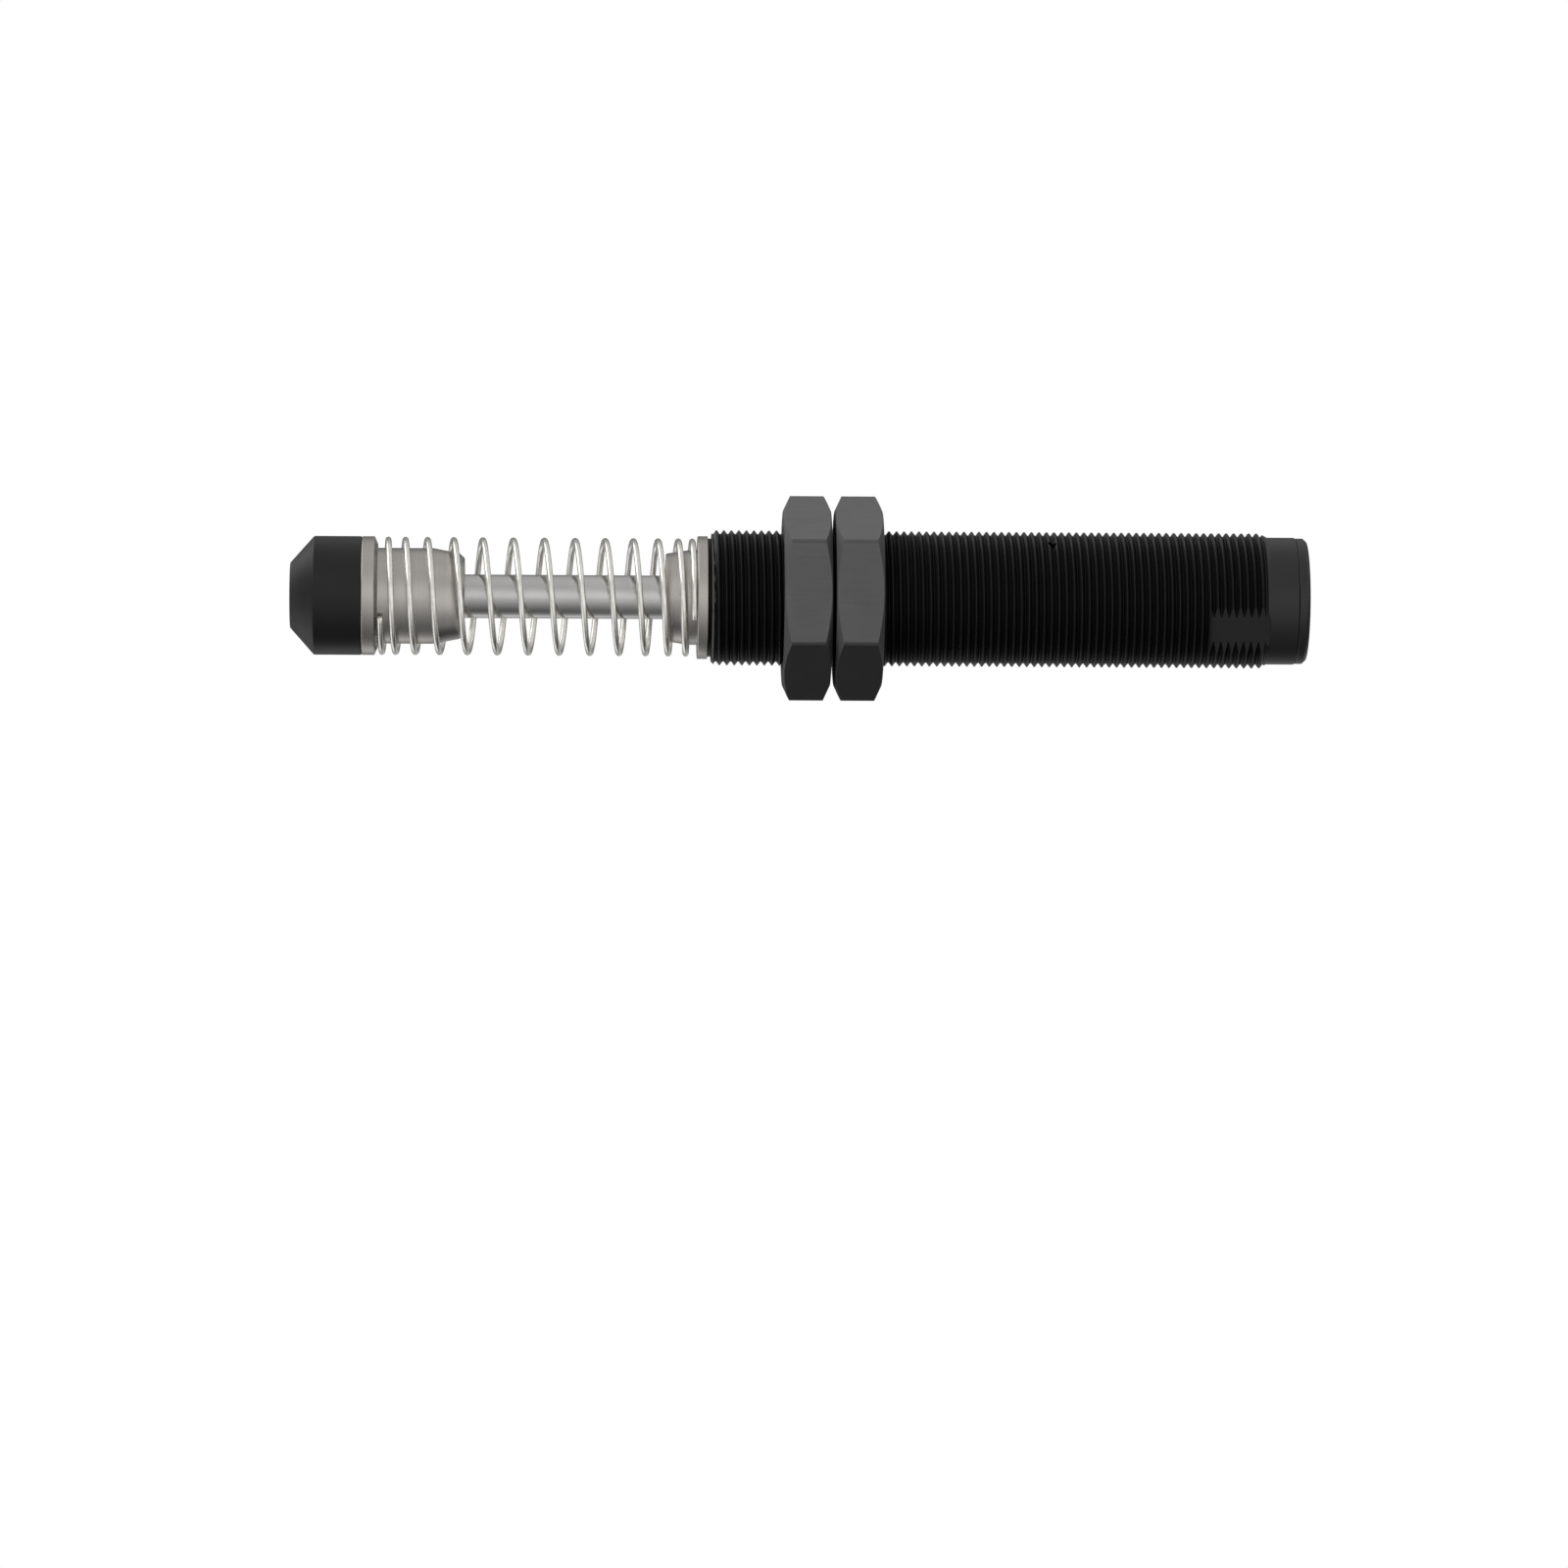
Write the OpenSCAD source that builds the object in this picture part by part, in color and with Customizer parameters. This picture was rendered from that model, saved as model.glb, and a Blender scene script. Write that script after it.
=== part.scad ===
// Industrial shock absorber with a fully threaded body, two lock nuts, an external return spring and a bumper cap.
// The stroke axis is X. The bumper cap is at the negative end and the rear end cap at the positive end.
// The origin lies on the axis at the bearing face of the rear lock nut, where the free mounting thread begins.
// Lengths in the modules are counted along X from the front edge of the body's thread, and place() moves them to the origin above.

/* [Body] */
// Major diameter of the mounting thread
thread_d = 27; // [26.8:0.1:27.4]
// Pitch of the mounting thread
thread_pitch = 1.5; // [1.25:0.25:2]
// Length from the front edge of the body's thread to the seam with the rear end cap
body_len = 116.7; // [116.5:0.1:124]
// Diameter of the plain shoulder behind the thread
shoulder_d = 25.4; // [25:0.1:26]
// Distance across the two wrench flats on the rear of the thread
flats_af = 25; // [24.8:0.1:26]
// Angle of the wrench flats about the axis, from the +Y direction
flats_angle = 29; // [0:1:180]

/* [Lock nuts] */
// Distance across the flats of each lock nut
nut_af = 36; // [34:1:41]
// Thickness of each lock nut
nut_t = 9.5; // [7:0.1:12]
// Gap between the two lock nuts as stored
nut_gap = 0.8; // [0.1:0.1:1]
// Distance from the front edge of the body's thread to the bearing face of the rear nut
nut_face = 34.1; // [28:0.1:60]
// Turn of the nuts about the axis from corners straight up
nut_angle = -2.5; // [-30:0.5:30]

/* [Stroke and rod] */
// Stroke of the piston rod
stroke = 40; // [25:1:44]
// Diameter of the piston rod
rod_d = 8.7; // [8:0.1:9]

/* [Head and cap] */
// Diameter of the bumper cap
cap_d = 23.7; // [23.4:0.1:25]
// Diameter of the flat striking face on the nose of the cap
nose_d = 13; // [8:0.5:18]
// Outer diameter of the two spring guide sleeves
sleeve_d = 19.1; // [18.4:0.1:19.6]

/* [Return spring] */
// Wire diameter of the return spring
wire_d = 1.2; // [0.8:0.1:1.3]
// Mean coil diameter of the return spring
coil_d = 22.4; // [21.6:0.1:22.4]
// Number of turns from one cut end to the other
coil_turns = 13; // [9:0.5:14]

/* [Hidden] */

thread_r = thread_d / 2;
rod_r = rod_d / 2;
fit = 0.05;                                // radial clearance of a running or slip fit
seat_front = -9.05;                        // front end of the rear spring seat
seat_flange = -2.78;                       // front face of its flange
head_end = seat_front - stroke - 0.1;      // rear end of the front sleeve, 0.1 mm clear of the seat at full stroke
head_flange = head_end - 17.3;             // rear face of the striking head's flange
cap_rear = head_flange - 3.15;             // plane where the cap meets the head
rod_front = cap_rear + 2.6;
thread_end = body_len - 7.1;               // last crest of the thread
shoulder_start = body_len - 5.6;
bore_r = 10.25;                            // smooth bore of the body
female_r = 10.6;                           // major radius of the threads that hold the bearing housing and the end cap
cap_seat = body_len - 11.7;                // front shoulder of the rear end cap
port_x = 67.7;                             // place of the small oil port in the side of the body
groove_mouth = 0.45;
groove_depth = groove_mouth / 2 / tan(30);

// Moves a shape drawn from the front edge of the thread into the frame of the part
module place() { translate([-nut_face, 0, 0]) children(); }
// Turned shape about the X axis from a profile of [radius, x] points
module lathe(profile, steps = 128) { rotate([0, 90, 0]) rotate_extrude($fn = steps) polygon(profile); }
// Round bar along X
module bar(x, len, r, steps = 96) { translate([x, 0, 0]) rotate([0, 90, 0]) cylinder(h = len, r = r, $fn = steps); }
// Hexagonal bar along X with corners up and down
module hex_bar(x, len, af, turn = 0) {
    rotate([turn, 0, 0]) translate([x, 0, 0]) rotate([0, 90, 0]) linear_extrude(height = len) circle(r = af / sqrt(3), $fn = 6);
}
// Radial hole at a place x along the axis and an angle about it
module radial_hole(x, angle, r, from, to, steps = 48) {
    rotate([angle, 0, 0]) translate([x, from, 0]) rotate([-90, 0, 0]) cylinder(h = to - from, r = r, $fn = steps);
}
// O-ring of the given section radius
module o_ring(x, centre_r, section_r) {
    translate([x, 0, 0]) rotate([0, 90, 0]) rotate_extrude($fn = 96) translate([centre_r, 0]) circle(r = section_r, $fn = 32);
}

// ---- Parts that ride on the piston rod ----

// Moulded urethane cap, snapped over the lip of the striking head
module bumper_cap() color([0.09, 0.09, 0.09]) place() {
    r = cap_d / 2;
    lathe([[0, cap_rear - 14.3], [nose_d / 2 - 0.3, cap_rear - 14.3], [nose_d / 2, cap_rear - 14.1], [r - 0.2, cap_rear - 9.75],
           [r, cap_rear - 9.4], [r, cap_rear - 0.3], [r - 0.3, cap_rear], [6.85, cap_rear], [6.85, cap_rear - 4.35],
           [7.65, cap_rear - 4.35], [7.65, cap_rear - 6.45], [0, cap_rear - 6.45]]);
}

// Steel striking head: snap boss for the cap, flange for the spring and guide sleeve around the rod
module strike_head() color([0.62, 0.61, 0.59]) place() {
    sr = sleeve_d / 2;
    r = cap_d / 2;
    difference() {
        lathe([[2.75, cap_rear - 1.2], [4.5, cap_rear - 1.2], [4.5, cap_rear - 6.4], [7.6, cap_rear - 6.4], [7.6, cap_rear - 4.4],
               [6.8, cap_rear - 4.4], [6.8, cap_rear], [r - 0.2, cap_rear], [r, cap_rear + 0.2], [r, head_flange - 0.65],
               [10.4, head_flange], [sr, head_flange], [sr, head_end - 6.2], [sr - 1, head_end - 1],
               [sr - 1.95, head_end], [rod_r + fit, head_end], [rod_r + fit, rod_front], [2.75, rod_front]]);
    }
}

// Socket head screw that clamps the head to the rod, hidden under the cap
module head_screw() color([0.2, 0.2, 0.21]) place() {
    difference() {
        union() {
            bar(cap_rear - 6.2, 5, 4.25);
            bar(cap_rear - 1.2, 15.2, 2.5, 64);
        }
        hex_bar(cap_rear - 6.3, 2.7, 4);
    }
}

// Hard chromed rod with a tapped front end and a spigot for the piston
module piston_rod() color([0.78, 0.78, 0.79]) place() {
    difference() {
        lathe([[0, rod_front], [rod_r - 0.3, rod_front], [rod_r, rod_front + 0.3], [rod_r, 38.2], [3, 38.2], [3, 52.9], [2.7, 53.2], [0, 53.2]]);
        bar(rod_front - 1, 14, 2.52, 64);
    }
}

// Washer between the rod shoulder and the piston, slotted so that oil passes on the return stroke
module rebound_washer() color([0.5, 0.5, 0.52]) place() {
    difference() {
        lathe([[3 + fit, 38.2], [6.5, 38.2], [6.5, 40.2], [3 + fit, 40.2]]);
        for (a = [0:60:300]) rotate([a, 0, 0]) translate([38.1, 4.5, -0.6]) cube([2.2, 3, 1.2]);
    }
}

// Piston with a hub that carries the check ring
module piston() color([0.66, 0.5, 0.28]) place()
    lathe([[3 + fit, 40.2], [5.2, 40.2], [5.2, 44.2], [6.4, 44.2], [6.5, 44.3], [6.5, 47.2], [3 + fit, 47.2]]);

// Floating ring that closes against the piston on the stroke and opens on the return
module check_ring() color([0.75, 0.6, 0.35]) place()
    lathe([[5.6, 40.25], [6.86, 40.25], [6.95, 40.35], [6.95, 43.35], [6.86, 43.45], [5.6, 43.45]]);

module piston_nut() color([0.3, 0.3, 0.31]) place()
    difference() {
        intersection() {
            hex_bar(47.2, 5, 10);
            lathe([[0, 47.2], [5.1, 47.2], [6, 47.7], [6, 51.7], [5.1, 52.2], [0, 52.2]]);
        }
        bar(47, 6, 3 + fit, 64);
    }

// ---- Return spring ----

coil_start = head_flange + wire_d / 2 + 0.02;
coil_len = seat_flange - wire_d / 2 - 0.02 - coil_start;
coil_phase = 204;                          // angle of the front cut end about X, from the +Y direction
coil_steps = 24;                           // rings in each turn
coil_sides = 8;
coil_flat = [0.0205, 0.0245];              // share of the length that the flat end turns give up, front and rear
function coil_end(u) = exp(-u * coil_turns / 0.6);
// Advance of the wire centre along X after a share u of all turns: flat turns at both ends and open ones between
function coil_x(u) = coil_start + coil_len * (u - 0.0446 * sin(360 * u) - 0.004 * sin(720 * u)
    + coil_flat[0] * (coil_end(u) - 1) - coil_flat[1] * coil_end(1 - u)) / (1 - coil_flat[0] - coil_flat[1]);
function coil_point(u, k) =
    let (a = coil_phase + 360 * coil_turns * u, b = 360 * k / coil_sides, r = coil_d / 2 + wire_d / 2 * cos(b))
    [coil_x(u) + wire_d / 2 * sin(b), r * cos(a), r * sin(a)];

// Right-hand helical compression spring of round wire
module return_spring() color([0.8, 0.8, 0.78]) place() {
    rings = round(coil_turns * coil_steps);
    pts = [for (i = [0:rings], k = [0:coil_sides - 1]) coil_point(i / rings, k)];
    walls = [for (i = [0:rings - 1], k = [0:coil_sides - 1])
        let (a = i * coil_sides + k, b = i * coil_sides + (k + 1) % coil_sides) [a, a + coil_sides, b + coil_sides, b]];
    first = [for (k = [0:coil_sides - 1]) k];
    last = [for (k = [coil_sides - 1:-1:0]) rings * coil_sides + k];
    polyhedron(points = pts, faces = concat([first], walls, [last]), convexity = 10);
}

// ---- Front end of the body ----

// Bearing housing screwed into the body; its front is the rear spring seat and stop sleeve
module bearing_housing() color([0.6, 0.59, 0.57]) place() {
    sr = sleeve_d / 2;
    lathe([[7, seat_front], [sr - 0.9, seat_front], [sr - 0.7, seat_front + 0.2], [sr - 0.1, seat_front + 4.4], [sr - 0.1, seat_flange],
           [12.07, seat_flange], [12.27, seat_flange + 0.2], [12.27, -0.9], [12.07, -0.7], [10.55, -0.7],
           [10.55, 3], [9, 3], [9, 5.6], [10.55, 5.6], [10.55, 18.2], [10.15, 18.6], [7.5, 18.6], [7.5, 14.4], [8.1, 14.4],
           [8.1, 13], [7.5, 13], [7.5, 6.8], [5, 6.8], [5, 5.8], [6, 5.8], [6, -5.3], [7, -5.3]]);
}

// Wiper ring pressed into the front of the housing, with its lip on the rod
module rod_wiper() color([0.12, 0.12, 0.12]) place()
    lathe([[rod_r + 0.6, -5.3], [6.98, -5.3], [6.98, -8.3], [6.2, -8.5], [rod_r + 1.2, -7.6], [rod_r + 0.35, -8.9],
           [rod_r + fit, -8.6], [rod_r + 0.45, -6.9]]);

// Bronze bush that guides the rod
module rod_bearing() color([0.72, 0.52, 0.28]) place()
    lathe([[rod_r + 0.3, -5.2], [rod_r + fit, -4.9], [rod_r + fit, 5.5], [rod_r + 0.3, 5.8], [5.7, 5.8], [5.98, 5.5], [5.98, -4.9], [5.7, -5.2]]);

// U-shaped rod seal, open towards the oil
module rod_seal() color([0.1, 0.1, 0.1]) place()
    lathe([[rod_r + fit, 10.9], [rod_r + 0.35, 8.4], [rod_r + 0.35, 7], [7.3, 7], [7.3, 8.4], [7.45, 10.9], [7.1, 11.4],
           [6.3, 8.9], [5.6, 8.9], [rod_r + 0.35, 11.4]]);

module seal_backup_washer() color([0.55, 0.55, 0.56]) place()
    lathe([[rod_r + 0.35, 11.5], [7.4, 11.5], [7.4, 13], [rod_r + 0.35, 13]]);

// Internal snap ring that holds the seal stack
module seal_retaining_ring() color([0.25, 0.25, 0.26]) place()
    difference() {
        union() {
            lathe([[6.7, 13.1], [8.05, 13.1], [8.05, 14.3], [6.7, 14.3]]);
            for (a = [62, 118]) rotate([a, 0, 0]) translate([13.1, 6.5, 0]) rotate([0, 90, 0]) cylinder(h = 1.2, r = 1.15, $fn = 32);
        }
        // opening between the two lugs
        rotate([90, 0, 0]) translate([13, 0, -2.1]) cube([1.4, 10, 4.2]);
        for (a = [62, 118]) rotate([a, 0, 0]) translate([13, 6.35, 0]) rotate([0, 90, 0]) cylinder(h = 1.4, r = 0.5, $fn = 24);
    }

module housing_o_ring() color([0.1, 0.1, 0.1]) place() o_ring(4.3, 9.8, 0.79);

// ---- Inside of the body ----

// Closed-cell foam sleeve that takes up the oil the rod displaces
module accumulator_foam() color([0.22, 0.22, 0.24]) place()
    lathe([[rod_r + 0.6, 19.2], [10, 19.2], [10.1, 19.3], [10.1, 30.7], [10, 30.8], [rod_r + 0.6, 30.8]]);

// Front head of the pressure tube, with oil ports around its rim
module tube_bulkhead() color([0.52, 0.52, 0.54]) place()
    difference() {
        lathe([[rod_r + 0.45, 31], [10, 31], [10.2, 31.2], [10.2, 36.8], [10, 37], [8.55, 37], [8.55, 34.2], [rod_r + 0.45, 34.2]]);
        for (a = [45:90:315]) rotate([a, 0, 0]) translate([0, 10.2, 0]) bar(30, 8, 0.9, 32);
    }

// Pressure tube with metering orifices that run out along the stroke
module pressure_tube() color([0.6, 0.6, 0.61]) place()
    difference() {
        lathe([[7, 34.2], [8.5, 34.2], [8.5, cap_seat], [7, cap_seat]]);
        for (i = [0:5]) radial_hole(50 + 34 * (1 - pow(0.62, i)) / (1 - pow(0.62, 5)), 90, 0.6, 5, 10, 32);
        for (a = [45, 225]) radial_hole(cap_seat - 8, a, 1, 5, 10, 32);
    }

// Body tube with the external mounting thread, drawn as ring grooves at the thread's pitch
module body_tube() color([0.13, 0.13, 0.135]) place() {
    first = -floor((nut_face - 0.25 - 1.2) / thread_pitch);
    last = floor((thread_end - 0.4 - nut_face + 0.25) / thread_pitch);
    grooves = [for (k = [first:last])
        let (x = nut_face - 0.25 + k * thread_pitch, w = k == 0 ? 0.6 : groove_mouth)
        each [[thread_r, x - w / 2], [thread_r - groove_depth, x], [thread_r, x + w / 2]]];
    difference() {
        lathe(concat([[female_r, -0.7], [11.8, -0.7], [11.8, 0], [thread_r - 0.7, 0], [thread_r, 0.7]], grooves,
                     [[thread_r, thread_end], [shoulder_d / 2, shoulder_start], [shoulder_d / 2, body_len - 0.25],
                      [shoulder_d / 2 - 0.25, body_len], [female_r, body_len], [female_r, cap_seat],
                      [bore_r, cap_seat], [bore_r, 18.7], [female_r, 18.7]]), 144);
        for (a = [flats_angle, flats_angle + 180])
            rotate([a, 0, 0]) translate([shoulder_start - 11.95, flats_af / 2, -15]) cube([11.95, 5, 30]);
        radial_hole(port_x, 125, 0.8, 9, 15);
    }
}

// Plug pressed into the small oil port in the side of the thread
module side_port_plug() color([0.1, 0.1, 0.1]) place() rotate([125, 0, 0]) translate([port_x, 10.3, 0]) rotate([-90, 0, 0])
    rotate_extrude($fn = 48) polygon([[0, 0], [0.76, 0], [0.76, 1.7], [0.55, 1.9], [0, 1.9]]);

// ---- Rear end of the body ----

// End cap screwed into the rear of the body, with two pin-spanner holes and the fill port
module rear_end_cap() color([0.16, 0.16, 0.165]) place()
    difference() {
        lathe([[3.05, cap_seat - 4], [6.65, cap_seat - 4], [6.95, cap_seat - 3.7], [6.95, cap_seat], [10.55, cap_seat],
               [10.55, cap_seat + 4.2], [9, cap_seat + 4.2], [9, cap_seat + 6.8], [10.55, cap_seat + 6.8],
               [10.55, body_len + 0.02], [12.3, body_len + 0.02], [12.55, body_len + 0.27], [12.55, body_len + 1.55],
               [11.9, body_len + 2.25], [4.6, body_len + 2.25], [4.6, body_len - 2.6], [3.05, body_len - 2.6]]);
        for (a = [0, 180]) rotate([a, 0, 0]) translate([body_len - 2, 8.2, 0]) bar(0, 5, 1.25, 48);
    }

module end_cap_o_ring() color([0.1, 0.1, 0.1]) place() o_ring(cap_seat + 5.5, 9.8, 0.79);

// Socket screw that closes the fill port
module fill_screw() color([0.3, 0.3, 0.31]) place()
    difference() {
        union() {
            bar(cap_seat + 1, body_len - 2 - cap_seat - 1, 3, 64);
            lathe([[0, body_len - 2], [4.4, body_len - 2], [4.4, body_len + 1.0], [4.1, body_len + 1.3], [0, body_len + 1.3]], 96);
        }
        hex_bar(body_len - 0.9, 3, 4);
    }

module fill_screw_seal() color([0.68, 0.5, 0.3]) place()
    lathe([[3.1, body_len - 2.6], [4.5, body_len - 2.6], [4.5, body_len - 2], [3.1, body_len - 2]]);

// ---- Lock nuts ----

// Hexagon nut, chamfered on both faces, whose front face is at x
module lock_nut(x) place() translate([x, 0, 0]) {
    face_r = 0.486 * nut_af;
    corner_r = 0.5667 * nut_af;             // corners turned down a little
    rise = (corner_r - face_r) * tan(25);
    bore = thread_r + fit;
    difference() {
        intersection() {
            hex_bar(0, nut_t, nut_af, nut_angle);
            lathe([[0, 0], [face_r, 0], [corner_r, rise], [corner_r, nut_t - rise], [face_r, nut_t], [0, nut_t]]);
        }
        lathe([[0, -1], [bore + 1.7, -1], [bore, 0.7], [bore, nut_t - 0.7], [bore + 1.7, nut_t + 1], [0, nut_t + 1]], 144);
    }
}
module lock_nut_front() color([0.27, 0.27, 0.275]) lock_nut(nut_face - 2 * nut_t - nut_gap);
module lock_nut_rear() color([0.27, 0.27, 0.275]) lock_nut(nut_face - nut_t);

bumper_cap();
strike_head();
head_screw();
piston_rod();
rebound_washer();
piston();
check_ring();
piston_nut();
return_spring();
bearing_housing();
rod_wiper();
rod_bearing();
rod_seal();
seal_backup_washer();
seal_retaining_ring();
housing_o_ring();
accumulator_foam();
tube_bulkhead();
pressure_tube();
body_tube();
side_port_plug();
rear_end_cap();
end_cap_o_ring();
fill_screw();
fill_screw_seal();
lock_nut_front();
lock_nut_rear();
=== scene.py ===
"""Looks of the industrial shock absorber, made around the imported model.

Shapes are worked out in millimetres, counted along X from the front edge of the body's thread, and become metres in the shared frame
when a piece is made. Angles about the axis are in degrees from +Y towards +Z, so the front of the picture is at 180."""

import math

import bmesh
import bpy
import numpy as np
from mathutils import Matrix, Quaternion, Vector


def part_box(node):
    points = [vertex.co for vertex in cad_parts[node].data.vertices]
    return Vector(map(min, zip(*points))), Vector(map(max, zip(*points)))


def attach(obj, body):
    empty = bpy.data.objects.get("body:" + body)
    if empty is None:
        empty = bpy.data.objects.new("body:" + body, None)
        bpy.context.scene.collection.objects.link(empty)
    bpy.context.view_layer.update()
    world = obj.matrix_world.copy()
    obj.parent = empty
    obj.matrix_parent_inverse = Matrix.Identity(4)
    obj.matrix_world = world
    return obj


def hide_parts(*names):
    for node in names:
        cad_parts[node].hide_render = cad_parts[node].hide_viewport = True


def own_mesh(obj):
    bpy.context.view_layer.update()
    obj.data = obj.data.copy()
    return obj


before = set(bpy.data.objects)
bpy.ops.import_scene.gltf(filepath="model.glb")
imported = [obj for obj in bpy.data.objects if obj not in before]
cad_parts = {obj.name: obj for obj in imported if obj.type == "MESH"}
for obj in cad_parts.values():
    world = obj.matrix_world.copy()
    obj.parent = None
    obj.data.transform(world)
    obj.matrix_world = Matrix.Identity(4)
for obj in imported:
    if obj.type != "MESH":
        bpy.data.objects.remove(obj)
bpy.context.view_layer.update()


def ends(node):
    """The two ends of a CAD node along X, in millimetres."""
    low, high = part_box(node)
    return low.x * 1000, high.x * 1000


FRONT = ends("body_tube")[0] + 0.7                 # front edge of the body's thread, behind the lip


def along(node):
    """The two ends of a CAD node, counted from the front edge of the body's thread."""
    a, b = ends(node)
    return a - FRONT, b - FRONT


def radius(node):
    low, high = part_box(node)
    return max(high.y, high.z) * 1000


# ---------------------------------------------------------------- meshes

def rounded(profile, closed, fillet=0.12, step=26.0):
    """A profile of (radius, x) or (radius, x, fillet) points with its corners turned into arcs."""
    made = []
    count = len(profile)
    for i, p in enumerate(profile):
        r = p[2] if len(p) > 2 else fillet
        b = np.array(p[:2], float)
        if r <= 0 or (not closed and i in (0, count - 1)):
            made.append(b)
            continue
        va = np.array(profile[i - 1][:2], float) - b
        vc = np.array(profile[(i + 1) % count][:2], float) - b
        la, lc = np.hypot(*va), np.hypot(*vc)
        va, vc = va / la, vc / lc
        turn = math.pi - math.acos(max(-1.0, min(1.0, float(va @ vc))))
        if turn < math.radians(3):
            made.append(b)
            continue
        t = min(r * math.tan(turn / 2), 0.46 * min(la, lc))
        r = t / math.tan(turn / 2)
        middle = va + vc
        centre = b + middle / np.hypot(*middle) * (r / math.cos(turn / 2))
        start, end = b + va * t - centre, b + vc * t - centre
        pieces = max(2, math.ceil(math.degrees(turn) / step))
        for k in range(pieces + 1):
            s = k / pieces
            d = (start * math.sin((1 - s) * turn) + end * math.sin(s * turn)) / math.sin(turn) if turn > 1e-6 else start
            made.append(centre + d)
    return made


def grid(columns, closed_profile, closed_round=True):
    """Vertices and faces from columns of points, each column one profile at its own place round the axis."""
    n, m = len(columns), len(columns[0])
    verts = [tuple(p) for c in columns for p in c]
    faces = []
    for j in range(n if closed_round else n - 1):
        a, b = j * m, ((j + 1) % n) * m
        for i in range(m if closed_profile else m - 1):
            k = (i + 1) % m
            faces.append((a + i, a + k, b + k, b + i))
    return verts, faces


def lathe(profile, fillet=0.12, steps=160):
    """A turned solid about X. A profile that starts and ends on the axis is closed there; any other is a ring."""
    ring = not (profile[0][0] == 0 and profile[-1][0] == 0)
    points = rounded(profile, ring, fillet)
    columns = []
    for j in range(steps):
        a = 2 * math.pi * j / steps
        columns.append([(x, r * math.cos(a), r * math.sin(a)) for r, x in points])
    return grid(columns, ring)


def mesh_of(name, verts, faces):
    """A closed mesh with doubles merged and its faces turned outwards, still in millimetres."""
    mesh = bpy.data.meshes.new(name)
    mesh.from_pydata(verts, [], faces)
    tidy(mesh)
    return mesh


def tidy(mesh, distance=0.0008):
    bm = bmesh.new()
    bm.from_mesh(mesh)
    bmesh.ops.remove_doubles(bm, verts=bm.verts, dist=distance)
    bmesh.ops.dissolve_degenerate(bm, dist=distance / 4, edges=bm.edges)
    bmesh.ops.recalc_face_normals(bm, faces=bm.faces)
    bm.to_mesh(mesh)
    bm.free()
    mesh.update()


def solid(name, verts, faces):
    ob = bpy.data.objects.new(name, mesh_of(name, verts, faces))
    bpy.context.scene.collection.objects.link(ob)
    return ob


def cut(ob, tool, operation="DIFFERENCE"):
    """Applies one solid to another and drops the tool."""
    mod = ob.modifiers.new("cut", "BOOLEAN")
    mod.operation, mod.solver, mod.object = operation, "MANIFOLD", tool
    graph = bpy.context.evaluated_depsgraph_get()
    mesh = bpy.data.meshes.new_from_object(ob.evaluated_get(graph), depsgraph=graph)
    if len(mesh.polygons) < 8:
        raise RuntimeError(f"{operation} of {ob.name} and {tool.name} left no solid")
    old = ob.data
    ob.modifiers.clear()
    ob.data = mesh
    name = old.name
    bpy.data.meshes.remove(old)
    mesh.name = name
    bpy.data.objects.remove(tool)


def prism(outline, low, high, name="tool"):
    """A prism along X from a list of (y, z) points."""
    n = len(outline)
    verts = [(low, y, z) for y, z in outline] + [(high, y, z) for y, z in outline]
    faces = [tuple(range(n)), tuple(range(2 * n - 1, n - 1, -1))]
    faces += [(i, (i + 1) % n, n + (i + 1) % n, n + i) for i in range(n)]
    return solid(name, verts, faces)


def radial_tool(x, angle, r, low, high, steps=48):
    """A round bar that stands on the axis at x, pointing at an angle about it."""
    a = math.radians(angle)
    out = Vector((0, math.cos(a), math.sin(a)))
    side = Vector((0, -math.sin(a), math.cos(a)))
    rings = []
    for h in (low, high):
        rings.append([tuple(Vector((x, 0, 0)) + out * h + Vector((1, 0, 0)) * (r * math.cos(t)) + side * (r * math.sin(t)))
                      for t in (2 * math.pi * k / steps for k in range(steps))])
    verts = rings[0] + rings[1]
    faces = [tuple(range(steps)), tuple(range(2 * steps - 1, steps - 1, -1))]
    faces += [(i, (i + 1) % steps, steps + (i + 1) % steps, steps + i) for i in range(steps)]
    return solid("tool", verts, faces)


def place(ob, body, slot, nodes, material, sharp=38.0):
    """Turns a finished millimetre mesh into metres in the frame, smooths it, and ties it to its CAD body and node."""
    mesh = ob.data
    tidy(mesh)
    co = np.empty(len(mesh.vertices) * 3)
    mesh.vertices.foreach_get("co", co)
    co = co.reshape(-1, 3)
    co[:, 0] += FRONT
    mesh.vertices.foreach_set("co", (co * 0.001).ravel())
    mesh.polygons.foreach_set("use_smooth", [True] * len(mesh.polygons))
    mesh.update()
    mesh.set_sharp_from_angle(angle=math.radians(sharp))
    mod = ob.modifiers.new("weighted", "WEIGHTED_NORMAL")
    mod.keep_sharp, mod.weight, mod.mode = True, 60, "FACE_AREA"
    mesh.materials.clear()
    mesh.materials.append(material)
    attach(ob, body)
    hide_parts(*nodes)
    return ob


# ---------------------------------------------------------------- materials

def linear(*srgb):
    """Linear colour from 0-255 display values."""
    if len(srgb) == 1:
        srgb = srgb * 3
    c = [v / 255 for v in srgb]
    return tuple(v / 12.92 if v <= 0.04045 else ((v + 0.055) / 1.055) ** 2.4 for v in c)


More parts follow.
